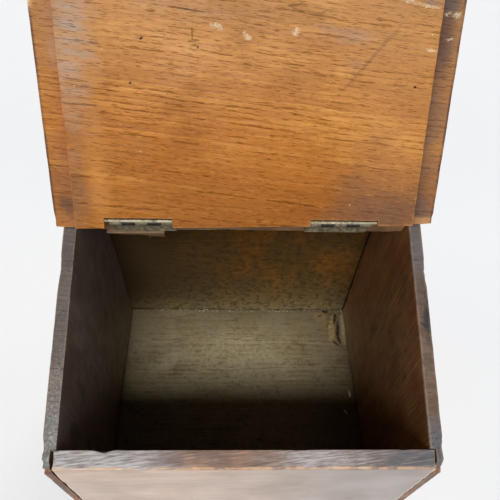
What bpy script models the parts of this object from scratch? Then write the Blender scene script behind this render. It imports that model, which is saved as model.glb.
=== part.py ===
import math

import bpy
from mathutils import Vector

# Candle box: oak boards nailed together, a sloping lid on two brass butt hinges.
# Metres, +Z up, origin under the middle of the base, the front faces -Y.
# The lid stands open, leaning back on the front edge of the fixed top board.

# Carcase
INNER_WIDTH = 0.270
INNER_DEPTH = 0.236
SIDE_THICK = 0.0104
FRONT_THICK = 0.013
BACK_THICK = 0.011
FLOOR_THICK = 0.010
RIM_FRONT = 0.188
SLOPE = math.radians(18.6)
REBATE_SHARE = 0.40
WOOD_GAP = 0.0003
FRONT_LEFT_GAP = 0.0011
FRONT_RIGHT_GAP = 0.0004

# Lid and fixed top board, which lie in one sloping plane
TOP_THICK = 0.0108
LID_FIELD = 0.0054
LID_SIDE_OVERHANG = 0.0006
LID_OVERHANG = 0.006
LID_SEAT_GAP = 0.0006
FIELD_SIDE_CLEAR = 0.006
FIELD_FRONT_CLEAR = 0.0018
LID_EDGE_ROUND = 0.0012
OPEN_ANGLE = math.radians(143.0)

# Hinge axis, below the upper faces of lid and top board
AXIS_Y = 0.0437
AXIS_SUNK = 0.0010
BARREL_RADIUS = 0.0032
LEAF_THICK = 0.0016
PIN_RADIUS = 0.0012
PIN_FIT = 0.0001
PIN_SHORT = 0.0002
KNUCKLES = 5
KNUCKLE_GAP = 0.0004
HINGE_LENGTH = 0.051
HINGE_LEFT_INSET = 0.0648
HINGE_RIGHT_INSET = 0.0700
BOX_LEAF_DROP = 0.0215
LID_LEAF_DROP = 0.0146
LID_LEAF_SET = 0.0013
LEAF_FIT = 0.0003
NOTCH_FIT = 0.0003
NOTCH_LEAD = 0.0008
NOTCH_LEAD_DEPTH = 0.005
SEAM_LEFT = 0.0006
SEAM_RIGHT = 0.0058

# Hinge rail under the top board's front edge, and the wedge below it at the left hinge
RAIL_DEPTH = 0.0142
RAIL_WIDTH = 0.020
RAIL_END_GAP = 0.0010
WEDGE_OUTWARD = 0.0335
WEDGE_INWARD = 0.0147
WEDGE_WIDTH = 0.0138
WEDGE_PROUD = 0.0030
WEDGE_THIN = 0.0015
WEDGE_DEEP = 0.0095

# Fastenings
NAIL_RADIUS = 0.0010
NAIL_HEAD_RADIUS = 0.0026
NAIL_HEAD_HIGH = 0.0010
NAIL_LENGTH = 0.028
RAIL_NAIL_INSET = 0.023
RAIL_NAIL_LENGTH = 0.0215
NAIL_FIT = 0.0003
SCREW_RADIUS = 0.0011
SCREW_HEAD_RADIUS = 0.0023
SCREW_HEAD_DEEP = 0.0012
SCREW_LENGTH = 0.011
SCREW_FIT = 0.0003
SCREW_SLOT = 0.0006
SCREW_SPREAD = 0.0155

# Worked-out places
HALF_IN = INNER_WIDTH / 2
HALF_OUT = HALF_IN + SIDE_THICK
LID_HALF_WIDTH = HALF_OUT + LID_SIDE_OVERHANG
FIELD_HALF_WIDTH = HALF_IN - FIELD_SIDE_CLEAR
HINGE_LEFT_X = HINGE_LEFT_INSET - LID_HALF_WIDTH
HINGE_RIGHT_X = LID_HALF_WIDTH - HINGE_RIGHT_INSET
WEDGE_LEFT_X = HINGE_LEFT_X - WEDGE_OUTWARD
WEDGE_RIGHT_X = HINGE_LEFT_X + WEDGE_INWARD
FRONT_Y = -(FRONT_THICK + INNER_DEPTH + BACK_THICK) / 2
FRONT_IN_Y = FRONT_Y + FRONT_THICK
BACK_IN_Y = FRONT_IN_Y + INNER_DEPTH
BACK_Y = BACK_IN_Y + BACK_THICK
REBATE = SIDE_THICK * REBATE_SHARE
AXIS_HIGH = TOP_THICK - AXIS_SUNK
RIM_AT_AXIS = RIM_FRONT + (AXIS_Y - FRONT_IN_Y) * math.tan(SLOPE)
AXIS_Z = RIM_AT_AXIS + AXIS_HIGH / math.cos(SLOPE)
RAIL_FACE = BARREL_RADIUS + LEAF_FIT
RIM_N = -AXIS_HIGH
FOOT_Y = AXIS_Y + AXIS_HIGH * math.sin(SLOPE)
TOP_BACK = (BACK_Y - FOOT_Y) / math.cos(SLOPE)
LID_FRONT = (FOOT_Y - FRONT_Y) / math.cos(SLOPE) + LID_OVERHANG
FIELD_FRONT = (FOOT_Y - FRONT_IN_Y) / math.cos(SLOPE) - FIELD_FRONT_CLEAR
RAIL_BOTTOM = RIM_N - RAIL_DEPTH
FIELD_N = RIM_N - LID_FIELD

for old in list(bpy.data.objects):
    bpy.data.objects.remove(old)
root = bpy.context.scene.collection
parts = bpy.data.collections.new("candle_box")
cutters = bpy.data.collections.new("cutters")
root.children.link(parts)
root.children.link(cutters)


def principled(name, colour, rough, metal=0.0):
    made = bpy.data.materials.new(name)
    made.use_nodes = True
    shader = made.node_tree.nodes["Principled BSDF"]
    shader.inputs["Base Color"].default_value = (*colour, 1.0)
    shader.inputs["Roughness"].default_value = rough
    shader.inputs["Metallic"].default_value = metal
    return made


def place(obj, group, name, parent=None):
    """Names the object and moves it to one collection, seated in its parent's frame."""
    for held in list(obj.users_collection):
        held.objects.unlink(obj)
    group.objects.link(obj)
    obj.name = name
    obj.data.name = name
    obj.parent = parent
    if group == cutters:
        obj.hide_render = True
        obj.display_type = "WIRE"
    return obj


def block(name, low, high, group=None, parent=None):
    """A sawn block between two corners."""
    low = Vector(low)
    high = Vector(high)
    bpy.ops.mesh.primitive_cube_add(size=1.0)
    obj = bpy.context.object
    obj.scale = high - low
    bpy.ops.object.transform_apply(location=False, rotation=False, scale=True)
    obj.location = (low + high) / 2
    return place(obj, group or parts, name, parent)


def turned(name, profile, steps, group=None, parent=None):
    """A piece of revolution about its own Z, from (radius, height) pairs."""
    mesh = bpy.data.meshes.new(name)
    points = [(radius, 0.0, high) for radius, high in profile]
    mesh.from_pydata(points, [(i, i + 1) for i in range(len(points) - 1)], [])
    obj = bpy.data.objects.new(name, mesh)
    root.objects.link(obj)
    screw = obj.modifiers.new("turn", "SCREW")
    screw.axis = "Z"
    screw.steps = steps
    screw.render_steps = steps
    screw.use_normal_flip = True
    screw.use_merge_vertices = True
    screw.merge_threshold = 0.00001
    return place(obj, group or parts, name, parent)


def extruded(name, outline, near, far, parent=None):
    """A flat outline in X and Z, drawn out along Y from near to far."""
    curve = bpy.data.curves.new(name, "CURVE")
    curve.dimensions = "2D"
    curve.fill_mode = "BOTH"
    curve.extrude = (far - near) / 2
    line = curve.splines.new("POLY")
    line.points.add(len(outline) - 1)
    for point, (x, z) in zip(line.points, outline):
        point.co = (x, z, 0.0, 1.0)
    line.use_cyclic_u = True
    obj = bpy.data.objects.new(name, curve)
    root.objects.link(obj)
    obj.rotation_euler = (math.pi / 2, 0.0, 0.0)
    obj.location = (0.0, (near + far) / 2, 0.0)
    return place(obj, parts, name, parent)


def boolean(obj, other, operation):
    made = obj.modifiers.new(other.name, "BOOLEAN")
    made.object = other
    made.operation = operation
    made.solver = "EXACT"


def cut(obj, *others):
    for other in others:
        boolean(obj, other, "DIFFERENCE")


def paint(obj, made):
    obj.data.materials.append(made)


def aim(obj, at, outward):
    """Seats a turned piece with its +Z along outward."""
    obj.location = at
    obj.rotation_mode = "QUATERNION"
    obj.rotation_quaternion = Vector(outward).to_track_quat("Z", "Y")


def frame(name, tilt):
    """An empty on the hinge axis, turned about it."""
    obj = bpy.data.objects.new(name, None)
    parts.objects.link(obj)
    obj.location = (0.0, AXIS_Y, AXIS_Z)
    obj.rotation_euler = (tilt, 0.0, 0.0)
    return obj


# Frames on the hinge axis: Y runs up the slope, Z out of the lid's upper face
fixed = frame("slope_frame", SLOPE)
swung = frame("lid_frame", SLOPE - OPEN_ANGLE)

oak_side = principled("oak_side", (0.16, 0.085, 0.05), 0.62)
oak_front = principled("oak_front", (0.24, 0.14, 0.08), 0.58)
oak_back = principled("oak_back", (0.13, 0.075, 0.04), 0.7)
oak_floor = principled("oak_floor", (0.15, 0.11, 0.07), 0.8)
oak_lid = principled("oak_lid", (0.36, 0.15, 0.05), 0.5)
oak_top = principled("oak_top", (0.30, 0.14, 0.06), 0.5)
oak_rail = principled("oak_rail", (0.25, 0.14, 0.075), 0.7)
old_brass = principled("old_brass", (0.36, 0.32, 0.20), 0.45, 1.0)
old_iron = principled("old_iron", (0.10, 0.085, 0.075), 0.6, 1.0)

# Everything above the rim is sawn off on the slope
rim_saw = block("rim_saw", (-0.3, -0.3, RIM_N), (0.3, 0.3, RIM_N + 0.3), cutters, fixed)

# Bottom board between the four walls
bottom = block(
    "bottom_board",
    (-HALF_IN + WOOD_GAP, FRONT_IN_Y + WOOD_GAP, 0.0),
    (HALF_IN - WOOD_GAP, BACK_IN_Y - WOOD_GAP, FLOOR_THICK),
)
paint(bottom, oak_floor)

# Front and back panels, their ends let into rebates in the sides
front = block(
    "front_panel",
    (-HALF_IN - REBATE + FRONT_LEFT_GAP, FRONT_Y, 0.0),
    (HALF_IN + REBATE - FRONT_RIGHT_GAP, FRONT_IN_Y, RIM_FRONT + 0.02),
)
cut(front, rim_saw)
paint(front, oak_front)
back = block(
    "back_panel",
    (-HALF_IN - REBATE + WOOD_GAP, BACK_IN_Y, 0.0),
    (HALF_IN + REBATE - WOOD_GAP, BACK_Y, RIM_FRONT + 0.12),
)
cut(back, rim_saw)
paint(back, oak_back)

# Sides with upright grain, rebated at both ends
sides = {}
for side, name in ((-1, "left_side"), (1, "right_side")):
    reach = sorted((side * HALF_IN, side * HALF_OUT))
    board = block(name, (reach[0], FRONT_Y, 0.0), (reach[1], BACK_Y, RIM_FRONT + 0.12))
    cut(board, rim_saw)
    deep = sorted((side * (HALF_IN - 0.01), side * (HALF_IN + REBATE)))
    for end, low, high in (
        ("front", FRONT_Y - 0.01, FRONT_IN_Y + WOOD_GAP),
        ("back", BACK_IN_Y - WOOD_GAP, BACK_Y + 0.01),
    ):
        rebate = block(
            name + "_rebate_" + end, (deep[0], low, -0.01), (deep[1], high, 0.4), cutters
        )
        cut(board, rebate)
    paint(board, oak_side)
    sides[side] = board

# Fixed top board behind the lid, lying on the sides and the back
top = block(
    "top_board",
    (-LID_HALF_WIDTH, RAIL_FACE, RIM_N + WOOD_GAP),
    (LID_HALF_WIDTH, TOP_BACK, AXIS_SUNK),
    None,
    fixed,
)
paint(top, oak_top)

# Hinge rail between the sides, under the top board's front edge
rail = block(
    "hinge_rail",
    (-HALF_IN + RAIL_END_GAP, RAIL_FACE, RAIL_BOTTOM),
    (HALF_IN - RAIL_END_GAP, RAIL_FACE + RAIL_WIDTH, RIM_N),
    None,
    fixed,
)
paint(rail, oak_rail)

# Wedge glued under the rail at the left hinge, thicker toward the middle of the box
wedge_top = RAIL_BOTTOM - WOOD_GAP
wedge = extruded(
    "left_rail_wedge",
    (
        (WEDGE_LEFT_X, wedge_top),
        (WEDGE_LEFT_X, wedge_top - WEDGE_THIN),
        (WEDGE_RIGHT_X, wedge_top - WEDGE_DEEP),
        (WEDGE_RIGHT_X, wedge_top),
    ),
    RAIL_FACE - WEDGE_PROUD,
    RAIL_FACE - WEDGE_PROUD + WEDGE_WIDTH,
    fixed,
)
paint(wedge, oak_rail)

# Lid: one wide board, rebated underneath along both ends and the front edge
lid = block(
    "lid_board",
    (-LID_HALF_WIDTH, -LID_FRONT, FIELD_N),
    (LID_HALF_WIDTH, RAIL_FACE, AXIS_SUNK),
    None,
    swung,
)
soft = lid.modifiers.new("soft_edges", "BEVEL")
soft.width = LID_EDGE_ROUND
soft.segments = 2
lip_n = RIM_N + LID_SEAT_GAP
for name, low, high in (
    ("left", (-0.2, -0.3, -0.05), (-FIELD_HALF_WIDTH, 0.05, lip_n)),
    ("right", (FIELD_HALF_WIDTH, -0.3, -0.05), (0.2, 0.05, lip_n)),
    ("front", (-0.2, -0.3, -0.05), (0.2, -FIELD_FRONT, lip_n)),
):
    cut(lid, block("lid_rebate_" + name, low, high, cutters, swung))

# Its back edge is cut a little out of square
skew = math.atan((SEAM_RIGHT - SEAM_LEFT) / (2 * LID_HALF_WIDTH))
edge_saw = block("edge_saw", (-0.2, 0.0, -0.05), (0.2, 0.05, 0.05), cutters, swung)
edge_saw.rotation_euler = (0.0, 0.0, -skew)
middle_seam = (SEAM_LEFT + SEAM_RIGHT) / 2
edge_saw.location = (
    0.025 * math.sin(skew),
    RAIL_FACE - middle_seam + 0.025 * math.cos(skew),
    0.0,
)
cut(lid, edge_saw)
paint(lid, oak_lid)


def knuckle_span(number):
    """The ends along X of one knuckle, counted from the left, about the hinge's middle."""
    pitch = HINGE_LENGTH / KNUCKLES
    start = -HINGE_LENGTH / 2 + number * pitch
    return start + KNUCKLE_GAP / 2, start + pitch - KNUCKLE_GAP / 2


def leaf(name, x, own, others, toward, drop, set_off, parent):
    """One leaf: a plate beside the axis with rolled knuckles, bored for the pin; set_off cranks the plate away from them."""
    near = BARREL_RADIUS - LEAF_THICK + set_off
    reach = sorted((toward * near, toward * (BARREL_RADIUS + set_off)))
    plate = block(
        name,
        (x - HINGE_LENGTH / 2, reach[0], -drop),
        (x + HINGE_LENGTH / 2, reach[1], 0.0),
        None,
        parent,
    )
    room = BARREL_RADIUS + KNUCKLE_GAP
    for number in others:
        low, high = knuckle_span(number)
        notch = block(
            f"{name}_gap_{number}",
            (x + low - KNUCKLE_GAP, -room - set_off, -room),
            (x + high + KNUCKLE_GAP, room + set_off, room),
            cutters,
            parent,
        )
        cut(plate, notch)
    for number in own:
        low, high = knuckle_span(number)
        bpy.ops.mesh.primitive_cylinder_add(
            vertices=24, radius=BARREL_RADIUS, depth=high - low
        )
        roll = place(bpy.context.object, cutters, f"{name}_roll_{number}", parent)
        roll.rotation_euler = (0.0, math.pi / 2, 0.0)
        roll.location = (x + (low + high) / 2, 0.0, 0.0)
        boolean(plate, roll, "UNION")
        if set_off > 0:
            fold = sorted((0.0, toward * (near + LEAF_THICK / 2)))
            neck = block(
                f"{name}_neck_{number}",
                (x + low, fold[0], -BARREL_RADIUS * 0.9),
                (x + high, fold[1], -BARREL_RADIUS * 0.3),
                cutters,
                parent,
            )
            boolean(plate, neck, "UNION")
    bpy.ops.mesh.primitive_cylinder_add(
        vertices=24, radius=PIN_RADIUS + PIN_FIT, depth=HINGE_LENGTH + 0.02
    )
    bore = place(bpy.context.object, cutters, name + "_bore", parent)
    bore.rotation_euler = (0.0, math.pi / 2, 0.0)
    bore.location = (x, 0.0, 0.0)
    cut(plate, bore)
    paint(plate, old_brass)
    return plate


def screw_outline(fit, above):
    """Half outline of a countersunk screw, or of its hole when fit is not nought."""
    return (
        (0.0, -SCREW_LENGTH - 2 * fit),
        (SCREW_RADIUS + fit, -SCREW_LENGTH * 0.7 - fit),
        (SCREW_RADIUS + fit, -SCREW_HEAD_DEEP),
        (SCREW_HEAD_RADIUS + fit, 0.0),
        (SCREW_HEAD_RADIUS + fit, above),
        (0.0, above),
    )


def screw(name, at, outward, holed, parent):
    """A slotted countersunk screw, its hole cut in each piece of holed."""
    made = turned(name, screw_outline(0.0, 0.0001), 16, None, parent)
    aim(made, at, outward)
    slot = block(
        name + "_slot",
        (-SCREW_HEAD_RADIUS * 2, -SCREW_SLOT / 2, -SCREW_SLOT),
        (SCREW_HEAD_RADIUS * 2, SCREW_SLOT / 2, 0.002),
        cutters,
        made,
    )
    cut(made, slot)
    hole = turned(name + "_hole", screw_outline(SCREW_FIT, 0.002), 16, cutters, parent)
    aim(hole, at, outward)
    for piece in holed:
        cut(piece, hole)
    paint(made, old_iron)


def nail_outline(fit, length, above):
    """Half outline of a flat-headed nail, or of its hole when fit is not nought."""
    return (
        (0.0, -length - 2 * fit),
        (NAIL_RADIUS + fit, -length + 0.004 - 2 * fit),
        (NAIL_RADIUS + fit, -NAIL_HEAD_HIGH - fit),
        (NAIL_HEAD_RADIUS + fit, -NAIL_HEAD_HIGH - fit),
        (NAIL_HEAD_RADIUS + fit, above),
        (0.0, above),
    )


def nail(name, at, outward, length, holed, parent=None):
    """A nail driven in flush, its hole cut in each piece of holed."""
    made = turned(name, nail_outline(0.0, length, 0.0), 10, None, parent)
    aim(made, at, outward)
    hole = turned(name + "_hole", nail_outline(NAIL_FIT, length, 0.002), 10, cutters, parent)
    aim(hole, at, outward)
    for piece in holed:
        cut(piece, hole)
    paint(made, old_iron)


# Two butt hinges: each box leaf on the rail, each lid leaf in a notch of the lid's edge
box_knuckles = range(0, KNUCKLES, 2)
lid_knuckles = range(1, KNUCKLES, 2)
for side, x in (("left", HINGE_LEFT_X), ("right", HINGE_RIGHT_X)):
    half_notch = HINGE_LENGTH / 2 + NOTCH_FIT
    notch_end = -BARREL_RADIUS - LID_LEAF_SET - NOTCH_FIT
    notch = block(
        side + "_lid_notch",
        (x - half_notch, notch_end, -0.05),
        (x + half_notch, 0.05, 0.05),
        cutters,
        swung,
    )
    lead = block(
        side + "_lid_notch_lead",
        (x - half_notch, notch_end - NOTCH_LEAD, -0.05),
        (x + half_notch, 0.04, FIELD_N + NOTCH_LEAD_DEPTH),
        cutters,
        swung,
    )
    cut(lid, notch, lead)
    hinge = side + "_hinge_"
    box_leaf = leaf(
        hinge + "box_leaf", x, box_knuckles, lid_knuckles, 1, BOX_LEAF_DROP, 0.0, fixed
    )
    lid_leaf = leaf(
        hinge + "lid_leaf",
        x,
        lid_knuckles,
        box_knuckles,
        -1,
        LID_LEAF_DROP,
        LID_LEAF_SET,
        swung,
    )
    face = BARREL_RADIUS - LEAF_THICK
    for number, shift in ((1, -SCREW_SPREAD), (2, SCREW_SPREAD)):
        screw(
            f"{hinge}box_screw_{number}",
            (x + shift, face, RIM_N - RAIL_DEPTH * 0.45),
            (0.0, -1.0, 0.0),
            (box_leaf, rail),
            fixed,
        )
        screw(
            f"{hinge}lid_screw_{number}",
            (x + shift, -face - LID_LEAF_SET, -LID_LEAF_DROP * 0.6),
            (0.0, 1.0, 0.0),
            (lid_leaf, lid),
            swung,
        )
    half_pin = HINGE_LENGTH / 2 - PIN_SHORT
    pin = turned(
        hinge + "pin",
        (
            (0.0, -half_pin),
            (PIN_RADIUS * 0.7, -half_pin),
            (PIN_RADIUS, -half_pin + PIN_RADIUS * 0.4),
            (PIN_RADIUS, half_pin - PIN_RADIUS * 0.4),
            (PIN_RADIUS * 0.7, half_pin),
            (0.0, half_pin),
        ),
        24,
        None,
        fixed,
    )
    aim(pin, (x, 0.0, 0.0), (1.0, 0.0, 0.0))
    paint(pin, old_brass)

# Nails through the sides into the ends of front, back and bottom, and down through the top
for side, label in ((-1, "left"), (1, "right")):
    board = sides[side]
    for name, y, z, other in (
        ("front_nail_low", FRONT_Y + FRONT_THICK / 2, 0.045, front),
        ("front_nail_high", FRONT_Y + FRONT_THICK / 2, 0.140, front),
        ("back_nail_low", BACK_Y - BACK_THICK / 2, 0.045, back),
        ("back_nail_high", BACK_Y - BACK_THICK / 2, 0.200, back),
        ("bottom_nail_front", FRONT_IN_Y + INNER_DEPTH * 0.3, FLOOR_THICK / 2, bottom),
        ("bottom_nail_back", FRONT_IN_Y + INNER_DEPTH * 0.75, FLOOR_THICK / 2, bottom),
    ):
        at = (side * HALF_OUT, y, z)
        nail(f"{label}_{name}", at, (side, 0.0, 0.0), NAIL_LENGTH, (board, other))
    for name, y in (("front", TOP_BACK * 0.25), ("back", TOP_BACK * 0.80)):
        at = (side * (HALF_IN + SIDE_THICK / 2), y, AXIS_SUNK)
        up = (0.0, 0.0, 1.0)
        nail(f"{label}_top_nail_{name}", at, up, NAIL_LENGTH, (top, board), fixed)
rail_nail_x = HALF_IN - RAIL_NAIL_INSET
for number, x in ((1, -rail_nail_x), (2, 0.0), (3, rail_nail_x)):
    at = (x, RAIL_FACE + RAIL_WIDTH * 0.55, AXIS_SUNK)
    nail(f"rail_nail_{number}", at, (0.0, 0.0, 1.0), RAIL_NAIL_LENGTH, (top, rail), fixed)
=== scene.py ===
import math

import bmesh
import bpy
from mathutils import Matrix, Vector, kdtree, noise


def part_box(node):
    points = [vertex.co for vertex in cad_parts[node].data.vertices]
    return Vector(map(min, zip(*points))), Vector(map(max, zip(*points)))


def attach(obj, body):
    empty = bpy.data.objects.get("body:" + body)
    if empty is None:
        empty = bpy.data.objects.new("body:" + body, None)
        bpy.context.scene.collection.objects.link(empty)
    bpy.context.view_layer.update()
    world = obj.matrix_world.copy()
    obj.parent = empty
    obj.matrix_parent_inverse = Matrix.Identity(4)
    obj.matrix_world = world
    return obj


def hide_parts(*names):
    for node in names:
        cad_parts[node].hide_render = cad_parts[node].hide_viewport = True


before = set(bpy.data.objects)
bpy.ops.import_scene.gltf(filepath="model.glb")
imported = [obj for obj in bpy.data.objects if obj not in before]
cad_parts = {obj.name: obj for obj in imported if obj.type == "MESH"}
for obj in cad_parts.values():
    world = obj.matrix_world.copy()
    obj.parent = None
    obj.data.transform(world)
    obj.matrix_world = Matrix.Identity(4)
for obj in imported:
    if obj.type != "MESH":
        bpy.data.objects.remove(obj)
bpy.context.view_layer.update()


# ---------------------------------------------------------------- bottom board
# The floor of the box: one oak board, grain left to right, nailed up between the sides.
# Its inside face is dry, dusty and grey, with a torn patch near the right back corner where a splinter has lifted round
# an old hole. Painted shade darkens it along the walls, towards the left wall and towards the back; a painted pool of
# light pales its middle, and painted light shows in slits by the right wall.
def swatch(*card):
    """A colour read off a paint card, 0 to 255, as the shader wants it."""
    return (*(c / 255 / 12.92 if c < 10 else ((c / 255 + 0.055) / 1.055) ** 2.4 for c in card), 1.0)


def pick_up(piece):
    bpy.ops.object.select_all(action="DESELECT")
    piece.select_set(True)
    bpy.context.view_layer.objects.active = piece


def saw_out(node, name, body, arris, pitch, cut_axes):
    """A board copied from its CAD solid: merged, its long outer arrises eased, and cut into a net fine enough to wear."""
    merge_distance, shortest_arris, wear_reach = 0.000004, 0.009, 0.003
    flat_angle, sharp_angle = math.radians(0.8), math.radians(35)
    board = bpy.data.objects.new(name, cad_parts[node].data.copy())
    bpy.context.scene.collection.objects.link(board)
    pick_up(board)
    bpy.ops.mesh.customdata_custom_splitnormals_clear()
    bpy.ops.object.mode_set(mode="EDIT")
    bpy.ops.mesh.select_all(action="SELECT")
    bpy.ops.mesh.remove_doubles(threshold=merge_distance)
    bpy.ops.mesh.dissolve_limited(angle_limit=flat_angle)
    bpy.ops.mesh.select_all(action="DESELECT")
    bpy.ops.mesh.select_mode(type="EDGE")
    bpy.ops.mesh.edges_select_sharp(sharpness=sharp_angle)
    net = bmesh.from_edit_mesh(board.data)
    for edge in net.edges:
        edge.select_set(edge.select and edge.is_convex and edge.calc_length() > shortest_arris)
    for face in net.faces:
        face.material_index = 0
    bmesh.update_edit_mesh(board.data)
    bpy.ops.mesh.bevel(
        offset=arris, offset_type="OFFSET", segments=3, profile=0.5, affect="EDGES", clamp_overlap=True)
    net = bmesh.from_edit_mesh(board.data)
    for face in net.faces:
        narrow = face.calc_area() / max(edge.calc_length() for edge in face.edges) < arris * 1.2
        face.material_index = 1 if face.select and narrow else 0
    bmesh.update_edit_mesh(board.data)
    low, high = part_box(node)
    for axis in cut_axes:
        side = "XYZ".index(axis)
        direction = Vector([axis == letter for letter in "XYZ"])
        cuts = int((high[side] - low[side]) / pitch)
        for cut in range(1, cuts):
            place = low.copy()
            place[side] = low[side] + (high[side] - low[side]) * cut / cuts
            bpy.ops.mesh.select_all(action="SELECT")
            bpy.ops.mesh.bisect(plane_co=place, plane_no=direction)
    bpy.ops.mesh.select_all(action="SELECT")
    bpy.ops.mesh.subdivide(number_cuts=1)
    bpy.ops.mesh.select_all(action="DESELECT")
    bpy.ops.object.mode_set(mode="OBJECT")
    faces = board.data.polygons
    arris_points = sorted({v for face in faces if face.material_index == 1 for v in face.vertices})
    for face in faces:
        face.material_index = 0
    tree = kdtree.KDTree(len(arris_points))
    for row, index in enumerate(arris_points):
        tree.insert(board.data.vertices[index].co, row)
    tree.balance()
    mark(board, "arris", lambda p: math.exp(-tree.find(p)[2] / wear_reach))
    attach(board, body)
    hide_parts(node)
    return board


def mark(board, name, rule):
    """A value for each point of a board, for its material to read."""
    layer = board.data.attributes.new(name, "FLOAT", "POINT")
    layer.data.foreach_set("value", [float(rule(v.co)) for v in board.data.vertices])


def rub_down(board, hollow, wear, seed):
    """Years of handling: the faces lie a little hollow and the arrises are rubbed away unevenly, always inwards."""
    mesh = board.data
    nicks = [value.value for value in mesh.attributes["arris"].data]
    normals = [v.normal.copy() for v in mesh.vertices]
    start = Vector((seed * 1.7, seed * 0.9, seed * 2.3))
    for vertex, normal, edge in zip(mesh.vertices, normals, nicks):
        broad = 0.5 + 0.5 * noise.noise(vertex.co * 22 + start)
        short = max(0.0, noise.noise(vertex.co * 75 + start * 2) + 0.5 * noise.noise(vertex.co * 190 + start))
        vertex.co -= normal * (hollow * broad + wear * short * edge * edge)


def strike(board, place, reach, push):
    """A knock or break: points near the place are pushed, most at the middle."""
    for vertex in board.data.vertices:
        away = Vector([(vertex.co[i] - place[i]) / reach[i] for i in range(3)]).length
        if away < 1:
            rough = 0.75 + 0.5 * noise.noise(vertex.co * 260)
            vertex.co += Vector(push) * ((1 - away * away) * rough)


def add(tree, kind, wires=None, **settings):
    """One shader node, with its settings, and its sockets wired or set."""
    node = tree.nodes.new(kind)
    for name, value in settings.items():
        setattr(node, name, value)
    for socket, value in (wires or {}).items():
        if isinstance(value, bpy.types.NodeSocket):
            tree.links.new(value, node.inputs[socket])
        else:
            node.inputs[socket].default_value = value
    return node


def sums(tree, operation, *values):
    return add(tree, "ShaderNodeMath", dict(enumerate(values)), operation=operation).outputs[0]


def times(tree, product, *others):
    for other in others:
        product = sums(tree, "MULTIPLY", product, other)
    return product


def any_of(tree, masks):
    """Where any of the masks shows."""
    shown, *others = masks
    for other in others:
        shown = sums(tree, "MAXIMUM", shown, other)
    return shown


def vectors(tree, operation, *values):
    node = add(tree, "ShaderNodeVectorMath", dict(enumerate(values)), operation=operation)
    return node.outputs["Value" if operation == "LENGTH" else "Vector"]


def axes(tree, vector):
    return tuple(add(tree, "ShaderNodeSeparateXYZ", {0: vector}).outputs)


def span(tree, value, low, high, start=0.0, end=1.0):
    """From start at low to end at high, easing in and out."""
    return add(
        tree, "ShaderNodeMapRange",
        {"Value": value, "From Min": low, "From Max": high, "To Min": start, "To Max": end},
        interpolation_type="SMOOTHSTEP",
    ).outputs["Result"]


def wash(tree, under, over, amount):
    """One colour over another, by a mask."""
    return add(tree, "ShaderNodeMix", {"Factor": amount, 6: under, 7: over}, data_type="RGBA").outputs[2]


def coats(tree, colour, *layers):
    """Card colours laid one after another, each by its own mask."""
    for card, amount in layers:
        colour = wash(tree, colour, swatch(*card), amount)
    return colour


def stain_steps(tree, value, *steps):
    """A ramp of card colours; a colour of four numbers is taken as it is."""
    ramp = add(tree, "ShaderNodeValToRGB", {"Fac": value})
    while len(ramp.color_ramp.elements) < len(steps):
        ramp.color_ramp.elements.new(0.5)
    for element, (place, colour) in zip(ramp.color_ramp.elements, steps):
        element.position = place
        element.color = colour if len(colour) == 4 else swatch(*colour)
    return ramp.outputs["Color"]


def cloud(tree, vector, scale, detail=2.0, rough=0.5, stretch=(1, 1, 1)):
    wires = {"Vector": vectors(tree, "MULTIPLY", vector, stretch), "Scale": scale, "Detail": detail, "Roughness": rough}
    return add(tree, "ShaderNodeTexNoise", wires).outputs["Fac"]


def new_group(name, inputs, outputs):
    """A shader node group: an input is a vector where its default is three numbers, and all else is a float."""
    group = bpy.data.node_groups.new(name, "ShaderNodeTree")
    for socket, value in inputs.items():
        kind = "NodeSocketVector" if isinstance(value, tuple) else "NodeSocketFloat"
        group.interface.new_socket(name=socket, in_out="INPUT", socket_type=kind).default_value = value
    for socket in outputs:
        group.interface.new_socket(name=socket, in_out="OUTPUT", socket_type="NodeSocketFloat")
    return group, group.nodes.new("NodeGroupInput").outputs, group.nodes.new("NodeGroupOutput").inputs


# The figure of riven oak as a solid: rings round a pith line along local X, open pores
# strung along the grain in each ring's early wood, fine fibre, and broad patches of tone.
oak_figure, figure_in, figure_out = new_group(
    "oak_figure",
    {"Vector": (0, 0, 0), "Ring Pitch": 0.0035, "Wander": 0.008, "Pore Length": 0.014, "Pore Width": 0.0011},
    ("Tone", "Pores", "Height"))
along = figure_in["Vector"]
radius = vectors(oak_figure, "LENGTH", vectors(oak_figure, "MULTIPLY", along, (0, 1, 1)))
drift = sums(oak_figure, "SUBTRACT", cloud(oak_figure, along, 1.0, 3.0, 0.55, (6, 24, 24)), 0.5)
swayed = sums(oak_figure, "MULTIPLY_ADD", drift, figure_in["Wander"], radius)
ring = sums(oak_figure, "DIVIDE", swayed, figure_in["Ring Pitch"])
year = sums(oak_figure, "FLOOR", ring)
season = sums(oak_figure, "FRACT", ring)
year_tone = add(oak_figure, "ShaderNodeTexWhiteNoise", {"W": year}, noise_dimensions="1D").outputs["Value"]
early = span(oak_figure, season, 0.05, 0.55, 1.0, 0.0)
pore_size = add(oak_figure, "ShaderNodeCombineXYZ", {
    0: figure_in["Pore Length"], 1: figure_in["Pore Width"], 2: figure_in["Pore Width"]}).outputs[0]
pore_noise = cloud(oak_figure, vectors(oak_figure, "DIVIDE", along, pore_size), 1.0, 2.0, 0.45)
bold_year = span(oak_figure, year_tone, 0.35, 1.0, 0.02, 0.22)
strung = span(oak_figure, cloud(oak_figure, along, 1.0, 2.0, 0.5, (42, 170, 170)), 0.36, 0.62)
pore_gate = sums(oak_figure, "MULTIPLY_ADD", early, times(oak_figure, bold_year, strung), pore_noise)
pores = span(oak_figure, pore_gate, 0.61, 0.76)
fibre = cloud(oak_figure, along, 1.0, 4.0, 0.65, (34, 720, 720))
patch = cloud(oak_figure, along, 1.0, 3.0, 0.55, (9, 22, 22))
late = times(oak_figure, sums(oak_figure, "SUBTRACT", 1.0, early), 0.16)
tone = sums(oak_figure, "MULTIPLY_ADD", year_tone, 0.20, late)
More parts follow.
